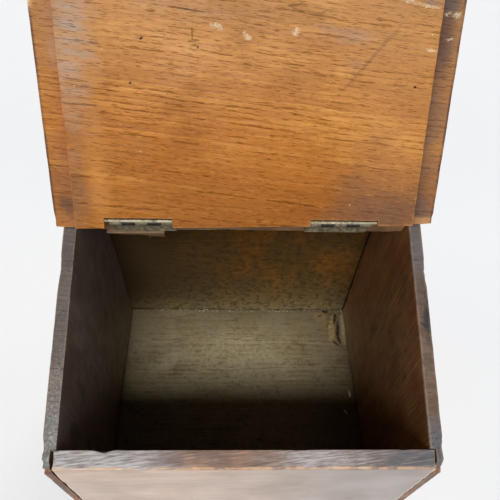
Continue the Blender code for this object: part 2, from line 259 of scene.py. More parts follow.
tone = sums(oak_figure, "MULTIPLY_ADD", sums(oak_figure, "SUBTRACT", fibre, 0.5), 0.95, tone)
tone = sums(oak_figure, "MULTIPLY_ADD", sums(oak_figure, "SUBTRACT", patch, 0.5), 0.9, tone)
tone = sums(oak_figure, "ADD", tone, 0.32)
relief = sums(oak_figure, "MULTIPLY_ADD", pores, -1.0, times(oak_figure, fibre, 0.45))
for socket, value in (("Tone", tone), ("Pores", pores), ("Height", relief)):
    oak_figure.links.new(value, figure_out[socket])


def blank(name):
    """A new material with no nodes but the Object coordinates."""
    material = bpy.data.materials.new(name)
    material.use_nodes = True
    tree = material.node_tree
    tree.nodes.clear()
    return material, tree, add(tree, "ShaderNodeTexCoord").outputs["Object"]


def laid(tree, vector, lie):
    """A vector as seen from the place and turn of a matrix."""
    wires = {"Vector": vector, "Location": lie.to_translation(), "Rotation": lie.to_euler()}
    return add(tree, "ShaderNodeMapping", wires, vector_type="TEXTURE").outputs[0]


def oak(name, lie, ring_pitch, wander, pore_length, pore_width):
    """A new oak material whose grain lies along the X axis of the given matrix, with the pith line at its place."""
    material, tree, place = blank(name)
    figure = add(tree, "ShaderNodeGroup", {
        "Vector": laid(tree, place, lie), "Ring Pitch": ring_pitch, "Wander": wander,
        "Pore Length": pore_length, "Pore Width": pore_width}, node_tree=oak_figure).outputs
    return material, tree, place, figure["Tone"], figure["Pores"], figure["Height"]


def worn(tree, name):
    return add(tree, "ShaderNodeAttribute", attribute_name=name).outputs["Fac"]


def shaded(tree, height, depth, sockets):
    """Relief, and one Principled shader with these sockets."""
    bump = add(tree, "ShaderNodeBump", {"Height": height, "Strength": 1.0, "Distance": depth})
    shader = add(tree, "ShaderNodeBsdfPrincipled", {"Normal": bump.outputs[0], **sockets})
    add(tree, "ShaderNodeOutputMaterial", {"Surface": shader.outputs[0]})


def clothe(piece, material):
    piece.data.materials.clear()
    piece.data.materials.append(material)


def polish(board, material, colour, roughness, height, depth, specular, coat=0.0, coat_roughness=0.3, coat_ior=1.5):
    """The last coat: colour, gloss and relief go to the shader, and the board gets the material."""
    shaded(material.node_tree, height, depth, {
        "Base Color": colour, "Roughness": roughness, "Specular IOR Level": specular,
        "Coat Weight": coat, "Coat Roughness": coat_roughness, "Coat IOR": coat_ior})
    clothe(board, material)
    pick_up(board)
    bpy.ops.object.shade_smooth_by_angle(angle=math.radians(40))


inner_half_width, front_face, back_face = 0.135, -0.117, 0.119
floor_top = 0.010
bottom = saw_out(
    "bottom_board", "bottom_board_dressed", "box", arris=0.0006, pitch=0.0034, cut_axes="XY")
rub_down(bottom, hollow=0.00025, wear=0.0006, seed=3)
for (x, y), (reach_x, reach_y), lift in (
        ((0.1175, 0.090), (0.0068, 0.025), 0.0028), ((0.1262, 0.088), (0.0042, 0.022), -0.0022),
        ((0.1115, 0.1165), (0.005, 0.004), -0.0025)):
    strike(bottom, (x, y, floor_top), (reach_x, reach_y, 0.004), (0, 0, lift))


def near_walls(point):
    """How close a point of the inside face is to a wall, for the painted shade along the walls; the side walls count
    least.
    """
    away = min(3.5 * (inner_half_width - abs(point.x)), back_face - point.y, point.y - front_face)
    return math.exp(-away / 0.012) if point.z > 0.006 else 0.3


mark(bottom, "walls", near_walls)

material, tree, place, tone, pores, height = oak(
    "dusty_floor_oak", Matrix.Translation((0, 0.16, -0.12)),
    ring_pitch=0.0042, wander=0.014, pore_length=0.016, pore_width=0.0009)
x, y, _ = axes(tree, place)
haze = cloud(tree, place, 34.0, 5.0, 0.6)
blots = cloud(tree, place, 70.0, 3.0, 0.5, (1, 1.6, 1))
mould = cloud(tree, place, 240.0, 4.0, 0.65)
wood = coats(
    tree, stain_steps(tree, tone, (0.05, (90, 76, 49)), (0.45, (140, 124, 89)), (0.95, (172, 158, 124))),
    ((156, 146, 116), span(tree, haze, 0.38, 0.68, 0.0, 0.75)),
    ((58, 46, 28), times(tree, pores, 0.28)),
    ((52, 42, 28), span(tree, blots, 0.60, 0.76, 0.0, 0.55)),
    ((66, 58, 40), span(tree, mould, 0.54, 0.72, 0.0, 0.6)),
    ((182, 172, 140), span(tree, mould, 0.44, 0.28, 0.0, 0.35)),
    # Painted shade: darker along the walls.
    ((40, 33, 21), times(tree, worn(tree, "walls"), 0.7)),
    ((66, 52, 30), span(tree, x, 0.045, 0.125, 0.0, 0.50)),
    # Painted shade: darker towards the left wall and towards the back.
    ((70, 60, 42), span(tree, x, -0.045, -0.120, 0.0, 0.32)),
    ((84, 70, 46), span(tree, y, 0.035, 0.105, 0.0, 0.62)))


# A soft-edged patch on a surface, its rim broken up by noise.
broken_patch, patch_in, patch_out = new_group(
    "broken_patch",
    {"Vector": (0, 0, 0), "Centre": (0, 0, 0), "Reach": (0.01, 0.01, 0.01),
     "Turn": 0.0, "Break": 0.6, "Grit": 220.0, "Soft": 0.45},
    ("Mask",))
shifted = vectors(broken_patch, "SUBTRACT", patch_in["Vector"], patch_in["Centre"])
turned = add(
    broken_patch, "ShaderNodeVectorRotate", {"Vector": shifted, "Angle": patch_in["Turn"]},
    rotation_type="Z_AXIS").outputs[0]
distance = vectors(broken_patch, "LENGTH", vectors(broken_patch, "DIVIDE", turned, patch_in["Reach"]))
grit = sums(broken_patch, "SUBTRACT", cloud(broken_patch, patch_in["Vector"], patch_in["Grit"], 4.0, 0.6), 0.5)
ragged = sums(broken_patch, "MULTIPLY_ADD", grit, times(broken_patch, patch_in["Break"], 3.0), distance)
firm = sums(broken_patch, "SUBTRACT", 1.0, patch_in["Soft"])
broken_patch.links.new(span(broken_patch, ragged, firm, 1.0, 1.0, 0.0), patch_out["Mask"])


def blemish(tree, vector, centre, reach, turn=0.0, ragged_edge=0.6, grit_scale=220.0, soft=0.45):
    return add(tree, "ShaderNodeGroup", {
        "Vector": vector, "Centre": centre, "Reach": reach, "Turn": turn,
        "Break": ragged_edge, "Grit": grit_scale, "Soft": soft}, node_tree=broken_patch).outputs["Mask"]


def on_floor(centre, size, *edge):
    return blemish(tree, place, (*centre, floor_top), (*size, 0.02), *edge)


torn = any_of(tree, (on_floor((0.1150, 0.0890), (0.0125, 0.0290), 0.12, 0.7, 130.0, 0.7),
                     on_floor((0.1060, 0.1080), (0.0110, 0.0110), 0.5, 0.9, 150.0, 0.7)))
splinters = span(tree, cloud(tree, place, 1.0, 3.0, 0.6, (420, 90, 90)), 0.34, 0.66, 0.35, 0.75)
slab = on_floor((0.1172, 0.0900), (0.0068, 0.0250), 0.14, 0.45, 170.0, 0.5)
swept_dust = on_floor((0.1314, 0.0900), (0.0042, 0.0320), 0.05, 0.5, 200.0, 0.8)
lifted = any_of(tree, [on_floor(centre, size, turn, 0.35, 120.0) for centre, size, turn in (
    ((0.1226, 0.1040), (0.0019, 0.0140), 0.24), ((0.1252, 0.0895), (0.0023, 0.0150), 0.10),
    ((0.1243, 0.0765), (0.0020, 0.0100), -0.22), ((0.1200, 0.0690), (0.0058, 0.0015), 0.60),
    ((0.1115, 0.1165), (0.0044, 0.0034), 0.2), ((0.1040, 0.1090), (0.0030, 0.0014), -0.4))])
dark_tear = times(tree, lifted, 0.82)
orange = on_floor((0.1290, 0.0780), (0.0020, 0.0030), 0.3, 0.5, 300.0)
# Painted light: pale slits near the right wall, where light shows through the joint of the floor and the side.
painted_light_slits = any_of(tree, (on_floor((0.1285, 0.002), (0.0012, 0.0055), 0.0, 0.2, 300.0),
                       on_floor((0.121, -0.0195), (0.0013, 0.0036), -0.5, 0.2, 300.0)))
joint_gap = times(
    tree, span(tree, y, 0.1165, 0.1185), span(tree, cloud(tree, place, 90.0, 2.0), 0.40, 0.55, 0.25, 1.0))
crumb_line = times(tree, span(tree, y, 0.1125, 0.1165), span(tree, cloud(tree, place, 420.0, 3.0), 0.60, 0.68))
# Painted light: a pale pool in the middle of the floor, weaker where the mould noise is strong.
painted_light_pool = blemish(tree, place, (0.004, 0.046, floor_top), (0.090, 0.060, 0.05), 0.0, 0.35, 30.0, 0.95)
wood = coats(
    tree, wood,
    ((116, 94, 62), times(tree, torn, splinters)),
    ((140, 118, 80), times(tree, slab, 0.62)),
    ((180, 164, 124), times(tree, swept_dust, 0.4)),
    ((24, 17, 10), dark_tear),
    ((150, 104, 50), times(tree, orange, 0.8)),
    ((225, 205, 160), painted_light_slits),
    ((20, 15, 9), times(tree, joint_gap, 0.8)),
    ((206, 196, 164), times(tree, crumb_line, 0.7)),
    ((186, 172, 134), times(tree, painted_light_pool, span(tree, mould, 0.34, 0.62, 0.5, 0.2))))


# Grains of dust and lime, sparse and pale, on any face.
dust_specks, specks_in, specks_out = new_group(
    "dust_specks", {"Vector": (0, 0, 0), "Spacing": 0.012, "Share": 0.3}, ("Mask",))
crowding = sums(dust_specks, "DIVIDE", 1.0, specks_in["Spacing"])
sown = add(dust_specks, "ShaderNodeVectorMath", {0: specks_in["Vector"], "Scale": crowding}, operation="SCALE")
cells = add(dust_specks, "ShaderNodeTexVoronoi", {"Vector": sown.outputs[0], "Scale": 1.0, "Randomness": 1.0})
chance = add(dust_specks, "ShaderNodeSeparateColor", {0: cells.outputs["Color"]})
kept = sums(dust_specks, "LESS_THAN", chance.outputs[0], specks_in["Share"])
speck_size = sums(dust_specks, "MULTIPLY_ADD", chance.outputs[1], 0.026, 0.016)
spot = sums(dust_specks, "LESS_THAN", cells.outputs["Distance"], speck_size)
dust_specks.links.new(times(dust_specks, kept, spot), specks_out["Mask"])


def dusted(tree, vector, colour, spacing, share, amount, tint):
    wires = {"Vector": vector, "Spacing": spacing, "Share": share}
    specks = add(tree, "ShaderNodeGroup", wires, node_tree=dust_specks)
    return coats(tree, colour, (tint, times(tree, specks.outputs["Mask"], amount)))


wood = dusted(tree, place, wood, spacing=0.012, share=0.35, amount=0.8, tint=(226, 214, 186))
relief = sums(tree, "SUBTRACT", height, times(tree, dark_tear, 2.5))
relief = sums(tree, "ADD", relief, times(tree, slab, 3.0))
polish(bottom, material, wood, span(tree, haze, 0.3, 0.7, 0.62, 0.85), relief, depth=0.0004, specular=0.3)


# ---------------------------------------------------------------- sides
# Two upright oak boards with their grain standing, so each sloping top shows dark end grain.
# They are rebated at front and back for the panels and nailed through; the arrises are knocked about, most at the front
# corners, and the insides are dark from handling and smoke, though the left inside is stained lighter and greyer than
# the right, partly as painted light for the light that wall lacks.
slope_angle = math.radians(18.6)


def above_slope(point, height):
    """Is the point over the sloping plane that has this height at the front's inner face?"""
    return point.z > height + (point.y - front_face) * math.tan(slope_angle)


# Wear along the arrises: strongest on the edge itself and broken up by noise.
rubbed_edge, edge_in, edge_out = new_group(
    "rubbed_edge", {"Vector": (0, 0, 0), "Arris": 0.0, "Grit": 110.0, "Amount": 0.5}, ("Mask",))
nibbled = cloud(rubbed_edge, edge_in["Vector"], edge_in["Grit"], 3.0, 0.5)
on_edge = sums(rubbed_edge, "POWER", edge_in["Arris"], 2.0)
rubbing = span(rubbed_edge, times(rubbed_edge, nibbled, on_edge), 0.22, 0.6)
rubbed_edge.links.new(times(rubbed_edge, rubbing, edge_in["Amount"]), edge_out["Mask"])


def rubbed(tree, vector, colour, tint, amount, grit):
    wires = {"Vector": vector, "Arris": worn(tree, "arris"), "Grit": grit, "Amount": amount}
    return coats(tree, colour, (tint, add(tree, "ShaderNodeGroup", wires, node_tree=rubbed_edge).outputs["Mask"]))


for node, hand, pith, inside, blotch_tint, score_share, dust_tint, rear_tint in (
        # The left inside stain is lighter and greyer than the right's, partly painted light for the light that wall
        # lacks.
        ("left_side", -1, (-0.10, 0.42, 0), ((96, 81, 75), (124, 107, 98), (147, 132, 120)),
         (104, 78, 75), 0.12, (168, 156, 118), (90, 76, 64)),
        ("right_side", 1, (0.09, 0.46, 0), ((90, 55, 26), (138, 89, 45), (180, 127, 74)),
         (116, 52, 26), 0.5, (182, 168, 124), (158, 102, 60))):
    side = saw_out(node, node + "_dressed", "box", arris=0.0011, pitch=0.005, cut_axes="XYZ")
    rub_down(side, hollow=0.0002, wear=0.0004, seed=7 + hand)
    outer_edge = hand * 0.1455
    strike(side, (outer_edge, -0.130, 0.1835), (0.009, 0.007, 0.010), (-hand * 0.0022, 0.0030, -0.0022))
    strike(side, (outer_edge, -0.118, 0.189), (0.006, 0.010, 0.006), (-hand * 0.0012, 0, -0.0012))
    strike(side, (outer_edge, 0.012, 0.231), (0.004, 0.018, 0.005), (-hand * 0.0010, 0, -0.0006))
    mark(side, "inside", lambda p: abs(p.x) < inner_half_width + 0.0006)
    mark(side, "rim", lambda p: above_slope(p, 0.1855) and abs(p.x) > inner_half_width + 0.0002)
    mark(side, "foot", lambda p: math.exp(-max(p.z - floor_top, 0.0) / 0.024))

    material, tree, place, tone, pores, height = oak(
        node + "_oak", Matrix.Translation(pith) @ Matrix.Rotation(-math.pi / 2, 4, "Y"),
        ring_pitch=0.0038, wander=0.006, pore_length=0.018, pore_width=0.0010)
    y = axes(tree, place)[1]
    dull = cloud(tree, place, 26.0, 4.0, 0.55)
    skin = coats(
        tree, stain_steps(tree, tone, (0.1, (64, 38, 22)), (0.45, (112, 70, 40)), (0.9, (152, 104, 64))),
        ((74, 50, 34), span(tree, dull, 0.45, 0.75, 0.0, 0.6)))
    blotch = cloud(tree, place, 38.0, 4.0, 0.6, (1, 1, 0.6))
    scores = cloud(tree, place, 1.0, 2.0, 0.5, (300, 800, 14))
    within = coats(
        tree, stain_steps(tree, tone, *zip((0.1, 0.5, 0.95), inside)),
        (blotch_tint, span(tree, blotch, 0.46, 0.66, 0.0, 0.6)),
        ((44, 34, 18), span(tree, blotch, 0.46, 0.30, 0.0, 0.5)),
        ((178, 130, 92), span(tree, scores, 0.58, 0.70, 0.0, score_share)),
        (dust_tint, times(tree, worn(tree, "foot"), span(tree, y, -0.035, 0.06, 0.15, 1.0))))
    if hand > 0:
        streak = blemish(tree, place, (0.135, 0.0185, 0.172), (0.004, 0.0016, 0.015), 0.0, 0.5, 260.0)
        within = coats(tree, within, ((176, 120, 74), times(tree, streak, 0.8)))
    within = coats(tree, within, (rear_tint, span(tree, y, 0.0, 0.08, 0.0, 0.32)))
    within = dusted(tree, place, within, spacing=0.018, share=0.15, amount=0.6, tint=(190, 168, 130))
    wood = wash(tree, skin, within, worn(tree, "inside"))

    soot = cloud(tree, place, 60.0, 4.0, 0.6)
    end_grain = coats(
        tree, stain_steps(tree, tone, (0.1, (72, 61, 55)), (0.5, (97, 85, 78)), (0.95, (126, 111, 101))),
        ((66, 62, 62), span(tree, soot, 0.42, 0.68, 0.0, 0.6)))
    if hand > 0:
        bands = cloud(tree, place, 1.0, 2.0, 0.5, (40, 210, 20))
        stain = blemish(tree, place, (0.1440, -0.025, 0.219), (0.0066, 0.028, 0.03), 0.05, 0.5, 120.0, 0.7)
        end_grain = coats(
            tree, end_grain,
            ((84, 59, 40), span(tree, cloud(tree, place, 30.0, 3.0), 0.36, 0.60, 0.5, 0.9)),
            ((60, 44, 36), span(tree, bands, 0.50, 0.64, 0.0, 0.5)),
            ((120, 98, 86), span(tree, bands, 0.46, 0.34, 0.0, 0.45)),
            ((92, 66, 44), span(tree, y, 0.0, -0.05, 0.0, 0.4)),
            # Painted reflection: blue-grey bands on the right rim stand for the pale backdrop reflected in the end
            # grain.
            ((90, 92, 98), span(tree, y, -0.010, 0.035, 0.0, 0.5)),
            ((78, 80, 88), span(tree, y, -0.088, -0.108, 0.0, 0.75)),
            ((34, 32, 36), times(tree, stain, 0.95)))
        chalk_share = 0.08
    else:
        end_grain = coats(
            tree, end_grain,
            ((66, 58, 54), span(tree, y, -0.07, -0.02, 0.0, 0.35)),
            # Painted reflection: blue-grey towards the front of the left rim, for the pale backdrop reflected in the
            # end grain.
            ((98, 101, 98), span(tree, y, -0.07, -0.115, 0.0, 0.5)))
        chalk_share = span(tree, y, -0.03, -0.112, 0.08, 0.7)
    chalky = span(tree, cloud(tree, place, 480.0, 5.0, 0.7), 0.42, 0.80)
    end_grain = coats(tree, end_grain, ((172, 178, 170), times(tree, chalky, chalk_share)))
    rim = worn(tree, "rim")
    wood = wash(tree, wood, end_grain, rim)
    pore_show = sums(tree, "MULTIPLY_ADD", rim, -0.4, 0.6)
    wood = coats(tree, wood, ((26, 17, 11), times(tree, pores, pore_show)))
    wood = rubbed(tree, place, wood, (132, 112, 92), amount=0.5, grit=130.0)
    polish(side, material, wood, span(tree, soot, 0.3, 0.7, 0.42, 0.62), height, depth=0.00035, specular=0.45)


# ---------------------------------------------------------------- front panel
# The front board, grain left to right, let into the side rebates with a small open joint at its left end. Its face is
# waxed, and its pale stain is partly painted reflection of the bright floor, darkening towards the right end as painted
# shade. Its top edge is bruised and scuffed, its pale streaks at the left partly a painted highlight, and a chip is
# gone from the inner arris.
front = saw_out(
    "front_panel", "front_panel_dressed", "box", arris=0.0009, pitch=0.0043, cut_axes="XYZ")
rub_down(front, hollow=0.00022, wear=0.0007, seed=21)
strike(front, (-0.1015, -0.1165, 0.1885), (0.008, 0.0032, 0.004), (0, -0.0016, -0.0018))
strike(front, (-0.1385, -0.1235, 0.187), (0.005, 0.016, 0.030), (0.0016, 0, -0.0004))
strike(front, (0.072, -0.1302, 0.1838), (0.016, 0.002, 0.003), (0, 0.0005, -0.0003))
mark(front, "inside", lambda p: p.y > front_face - 0.0006)
mark(front, "face", lambda p: p.y < -0.1294 and p.z < 0.1825)
mark(front, "rim", lambda p: above_slope(p, 0.1856))

material, tree, place, tone, pores, height = oak(
    "waxed_front_oak", Matrix.Translation((0, -0.02, 0.36)) @ Matrix.Rotation(math.radians(-4), 4, "Y"),
    ring_pitch=0.0036, wander=0.010, pore_length=0.016, pore_width=0.0011)
x, y, _ = axes(tree, place)
dull = cloud(tree, place, 24.0, 4.0, 0.55)
# Outer stain: pale, partly painted reflection of the bright floor; darker towards the right end as painted shade.
skin = coats(
    tree, stain_steps(tree, tone, (0.1, (107, 77, 52)), (0.5, (156, 122, 95)), (0.9, (191, 156, 126))),
    ((118, 88, 64), span(tree, dull, 0.45, 0.75, 0.0, 0.5)),
    ((72, 54, 38), span(tree, x, -0.10, 0.13, 0.0, 0.84)))
within = stain_steps(tree, tone, (0.1, (48, 34, 22)), (0.5, (78, 56, 36)), (0.9, (104, 78, 52)))
wood = wash(tree, skin, within, worn(tree, "inside"))

planed = add(tree, "ShaderNodeMapping", {"Vector": place, "Rotation": (0, 0, math.radians(-7))}).outputs[0]
scuffs = cloud(tree, planed, 1.0, 5.0, 0.66, (52, 800, 800))
umber = cloud(tree, place, 30.0, 3.0, 0.55)
fox = blemish(tree, place, (-0.020, -0.1235, 0.1865), (0.060, 0.014, 0.01), 0.0, 0.8, 60.0, 0.9)
# Pale grey streaks on the top edge, strongest at the left: scuffs, partly a painted highlight.
pale = blemish(tree, place, (0.060, -0.122, 0.187), (0.050, 0.016, 0.01), 0.0, 0.5, 90.0, 0.95)
pale = any_of(tree, (span(tree, x, -0.035, -0.085), times(tree, pale, 0.8)))
right_end = span(tree, x, 0.072, 0.112)
top_edge = coats(
    tree, stain_steps(tree, scuffs, (0.30, (66, 48, 40)), (0.50, (114, 93, 83)), (0.70, (154, 133, 121))),
    ((98, 74, 62), span(tree, umber, 0.44, 0.66, 0.0, 0.7)),
    ((138, 97, 66), times(tree, fox, span(tree, umber, 0.58, 0.40, 0.1, 0.55))),
    ((176, 177, 178), times(tree, pale, span(tree, scuffs, 0.38, 0.64, 0.22, 0.85))),
    ((74, 80, 86), times(tree, right_end, span(tree, scuffs, 0.66, 0.36, 0.45, 0.95))))
rim = worn(tree, "rim")
wood = wash(tree, wood, top_edge, rim)
wood = coats(tree, wood, ((46, 30, 20), times(tree, pores, 0.45)))
edged = rubbed(tree, place, wood, (204, 162, 120), amount=0.6, grit=150.0)
wood = wash(tree, wood, edged, span(tree, y, -0.124, -0.128, 0.12, 1.0))
gloss = sums(tree, "ADD", span(tree, dull, 0.3, 0.7, 0.34, 0.5), times(tree, rim, 0.22))
wax = times(tree, worn(tree, "face"), span(tree, dull, 0.2, 0.8, 1.0, 0.8))
polish(
    front, material, wood, gloss, height, depth=0.00004, specular=0.45, coat=wax, coat_roughness=0.28, coat_ior=1.8)


# ---------------------------------------------------------------- back panel
# The back board stands in the rear rebates behind the floor. Inside it is brown, shading to olive dust near the floor,
# with painted shade towards the left and in the corners by the sides; outside it was never finished and has gone dry
# and brown.
back = saw_out("back_panel", "back_panel_dressed", "box", arris=0.0009, pitch=0.007, cut_axes="XZ")
rub_down(back, hollow=0.0003, wear=0.0006, seed=33)
mark(back, "inside", lambda p: p.y < back_face + 0.0006)
mark(back, "foot", lambda p: math.exp(-max(p.z - floor_top, 0.0) / 0.032))
# Nearness to the side walls, for the painted shade in the inside corners.
mark(back, "ends", lambda p: math.exp(-max(inner_half_width - abs(p.x), 0.0) / 0.012))

material, tree, place, tone, pores, height = oak(
    "dry_back_oak", Matrix.Translation((0, 0.02, -0.10)),
    ring_pitch=0.0040, wander=0.012, pore_length=0.018, pore_width=0.0012)
x = axes(tree, place)[0]
foot = worn(tree, "foot")
dull = cloud(tree, place, 22.0, 4.0, 0.6)
skin = coats(
    tree, stain_steps(tree, tone, (0.1, (72, 52, 36)), (0.5, (116, 88, 62)), (0.9, (150, 122, 92))),
    ((92, 80, 66), span(tree, dull, 0.42, 0.72, 0.0, 0.6)))
amber = cloud(tree, place, 1.0, 5.0, 0.62, (34, 34, 15))
hairline = cloud(tree, place, 1.0, 2.0, 0.5, (110, 110, 700))
mottle = cloud(tree, place, 150.0, 4.0, 0.65)
# Painted shade: the inside darkens towards the left, less near the floor.
painted_left_shade = times(tree, span(tree, x, 0.03, -0.13, 0.0, 0.82), span(tree, foot, 0.15, 0.8, 1.0, 0.5))
within = coats(
    tree, stain_steps(tree, tone, (0.0, (50, 31, 5)), (0.5, (72, 46, 7)), (1.0, (94, 62, 13))),
    ((58, 43, 16), span(tree, dull, 0.40, 0.66, 0.0, 0.7)),
    ((108, 62, 8), times(tree, span(tree, amber, 0.42, 0.68), span(tree, x, -0.06, 0.03, 0.0, 0.52))),
    ((116, 104, 72), times(tree, foot, 0.75)),
    ((150, 134, 96), times(tree, foot, span(tree, hairline, 0.62, 0.70, 0.0, 0.6))),
    # Painted shade in the corners by the side walls.
    ((42, 31, 16), times(tree, worn(tree, "ends"), 0.35)),
    ((36, 25, 12), painted_left_shade),
    ((40, 28, 8), span(tree, mottle, 0.44, 0.66, 0.0, 0.65)),
    ((12, 9, 6), span(tree, x, 0.1328, 0.1340, 0.0, 0.85)))
within = dusted(tree, place, within, spacing=0.016, share=0.22, amount=0.7, tint=(206, 188, 140))
wood = wash(tree, skin, within, worn(tree, "inside"))
wood = coats(tree, wood, ((34, 24, 15), times(tree, pores, 0.4)))
polish(back, material, wood, span(tree, dull, 0.3, 0.7, 0.6, 0.7), height, depth=0.0003, specular=0.2)


# ---------------------------------------------------------------- top board
# The fixed part of the sloping top, behind the lid: an oak board nailed down on the sides
# and back, its top polished brown by dusting and its front arris worn where the lid rests.
hinge_axis = Vector((0, 0.0437, 0.252422))
slope = Matrix.Translation(hinge_axis) @ Matrix.Rotation(slope_angle, 4, "X")
top = saw_out("top_board", "top_board_dressed", "box", arris=0.0010, pitch=0.006, cut_axes="XY")
rub_down(top, hollow=0.0002, wear=0.0006, seed=41)

material, tree, place, tone, pores, height = oak(
    "polished_top_oak", slope @ Matrix.Translation((0, 0.15, -0.14)) @ Matrix.Rotation(math.radians(2), 4, "Z"),
    ring_pitch=0.0036, wander=0.010, pore_length=0.016, pore_width=0.0011)
dull = cloud(tree, place, 24.0, 4.0, 0.55)
wood = coats(
    tree, stain_steps(tree, tone, (0.1, (78, 44, 22)), (0.5, (132, 82, 44)), (0.9, (170, 116, 68))),
    ((84, 54, 32), span(tree, dull, 0.45, 0.75, 0.0, 0.6)),
    ((36, 22, 13), times(tree, pores, 0.65)))
wood = rubbed(tree, place, wood, (176, 128, 84), amount=0.6, grit=110.0)
gloss = span(tree, dull, 0.3, 0.7, 0.34, 0.5)
polish(top, material, wood, gloss, height, depth=0.00028, specular=0.5, coat=0.2, coat_roughness=0.35)


# ---------------------------------------------------------------- hinge rail and wedge
# A narrow oak rail nailed under the front edge of the top board carries the hinges. A thin
# tapered slip of oak has been pushed in beside the left hinge to pack it out.
for node, seed, stain in (
        ("hinge_rail", 52, ((96, 68, 47), (142, 106, 76), (174, 136, 102))),
        ("left_rail_wedge", 57, ((62, 45, 30), (96, 72, 50), (126, 98, 72)))):
    strip = saw_out(node, node + "_dressed", "box", arris=0.0005, pitch=0.006, cut_axes="X")
    rub_down(strip, hollow=0.0001, wear=0.0007, seed=seed)
    material, tree, place, tone, pores, height = oak(
        node + "_dressed_oak", slope @ Matrix.Translation((0, 0.05, 0.07)),
        ring_pitch=0.0034, wander=0.006, pore_length=0.014, pore_width=0.0010)
    dull = cloud(tree, place, 40.0, 4.0, 0.55)
    wood = coats(
        tree, stain_steps(tree, tone, *zip((0.1, 0.5, 0.9), stain)),
        ((80, 58, 42), span(tree, dull, 0.42, 0.7, 0.0, 0.7)),
        ((36, 24, 15), times(tree, pores, 0.6)))
    polish(strip, material, wood, span(tree, dull, 0.3, 0.7, 0.45, 0.65), height, depth=0.0003, specular=0.4)


# ---------------------------------------------------------------- nails
# Cut iron nails with flat heads driven flush hold the boards; they have gone black-brown
# with rust in the pits.
iron, tree, place = blank("rusted_nail_iron")
pits = cloud(tree, place, 900.0, 4.0, 0.65)
shaded(tree, pits, 0.0003, {
    "Base Color": stain_steps(tree, pits, (0.3, (34, 26, 22)), (0.52, (62, 44, 34)), (0.72, (112, 66, 38))),
    "Metallic": span(tree, pits, 0.45, 0.65, 0.75, 0.1), "Roughness": span(tree, pits, 0.3, 0.7, 0.45, 0.85)})
for name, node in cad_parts.items():
    if "_nail" in name:
        clothe(node, iron)


# ---------------------------------------------------------------- hinges
# Two brass butt hinges: folded sheet leaves let into the rail and the lid, a pin through five knuckles, and four
# slotted screws each. The brass is dull olive with bright scratches, and the inner sides of the lid's knuckles are
# painted black as painted shade, for the dark gaps between the knuckles.
brass, tree, place = blank("dull_hinge_brass")
tarnish = cloud(tree, place, 260.0, 5.0, 0.6)
hair = cloud(tree, place, 1.0, 2.0, 0.5, (520, 160, 900))
grime = cloud(tree, place, 120.0, 3.0, 0.5)
along_pin = axes(tree, place)[0]
around = vectors(tree, "MULTIPLY", vectors(tree, "SUBTRACT", place, hinge_axis), (0, 1, 1))
_, behind, above = axes(tree, around)
barrel = span(tree, vectors(tree, "LENGTH", around), 0.0045, 0.0036)
inner_side = times(
    tree, span(tree, behind, -0.0010, -0.0016),
    span(tree, above, 0.0022, 0.0015), span(tree, above, -0.0022, -0.0014))
lid_knuckles = []
for hinge_middle in (-0.0812, 0.0760):
    off_middle = sums(tree, "ABSOLUTE", sums(tree, "SUBTRACT", along_pin, hinge_middle))
    off_knuckle = sums(tree, "ABSOLUTE", sums(tree, "SUBTRACT", off_middle, 0.0102))
    lid_knuckles.append(span(tree, off_knuckle, 0.0053, 0.0047))
# Painted shade: black on the inner sides of the lid's knuckles, for the dark gaps between the knuckles; the metal is
# dulled there too.
painted_gap_shade = times(tree, any_of(tree, lid_knuckles), barrel, inner_side)
metal = coats(
    tree, stain_steps(tree, tarnish, (0.28, (83, 77, 61)), (0.5, (137, 127, 101)), (0.75, (176, 165, 134))),
    ((219, 207, 178), span(tree, hair, 0.63, 0.72, 0.0, 0.75)),
    ((58, 50, 36), span(tree, grime, 0.55, 0.72, 0.0, 0.7)),
    ((70, 66, 54), times(tree, barrel, 0.45)),
    ((15, 12, 8), times(tree, painted_gap_shade, 0.95)))
shine = times(tree, span(tree, grime, 0.5, 0.7, 0.45, 0.1), sums(tree, "SUBTRACT", 1.0, painted_gap_shade))
shaded(tree, tarnish, 0.00012, {
    "Base Color": metal, "Metallic": shine, "Roughness": span(tree, tarnish, 0.3, 0.7, 0.36, 0.6)})
for name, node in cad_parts.items():
    if "_hinge_" in name and "rail" not in name:
        clothe(node, brass)


# ---------------------------------------------------------------- lid
# One wide oak board. Underneath, a raised field drops into the mouth of the box and leaves thin lips at the ends and
# front that lie on the rim. Seen open, the underside is warm orange-brown with dark strings of pores, greyed at the
# left by rubbing and a painted sheen, spotted and scratched; a painted highlight lies on the top left arris and painted
# shade in the corners of the lips.
opening = math.radians(143)
field_level, spot_level = -0.0152, -0.0145
lid_frame = Matrix.Translation(hinge_axis) @ Matrix.Rotation(slope_angle - opening, 4, "X")
to_lid, lid_turn = lid_frame.inverted(), lid_frame.to_3x3()
lid = saw_out("lid_board", "lid_board_dressed", "lid", arris=0.0012, pitch=0.006, cut_axes="XYZ")
rub_down(lid, hollow=0.00022, wear=0.0006, seed=60)
for corner, reach, push in (
        ((-0.146, 0.0029, -0.004), (0.006, 0.006, 0.014), (0.0014, -0.0010, 0)),
        ((0.146, -0.0023, -0.004), (0.006, 0.007, 0.010), (-0.0014, -0.0014, 0))):
    strike(lid, lid_frame @ Vector(corner), reach, lid_turn @ Vector(push))


def step_shade(point):
    """Painted shade: dark in the corner under the end lips where the field's shadow falls, fading away from the field.
    """
    on_lid = to_lid @ point
    shown = -0.0145 < on_lid.z < -0.004 and abs(on_lid.x) > 0.1288
    return math.exp(-max(abs(on_lid.x) - 0.129, 0.0) / 0.0055) if shown else 0.0


mark(lid, "under", lambda p: (to_lid @ p).z < -0.0015)
mark(lid, "strip", lambda p: -0.0135 < (to_lid @ p).z < -0.004)
mark(lid, "step", step_shade)

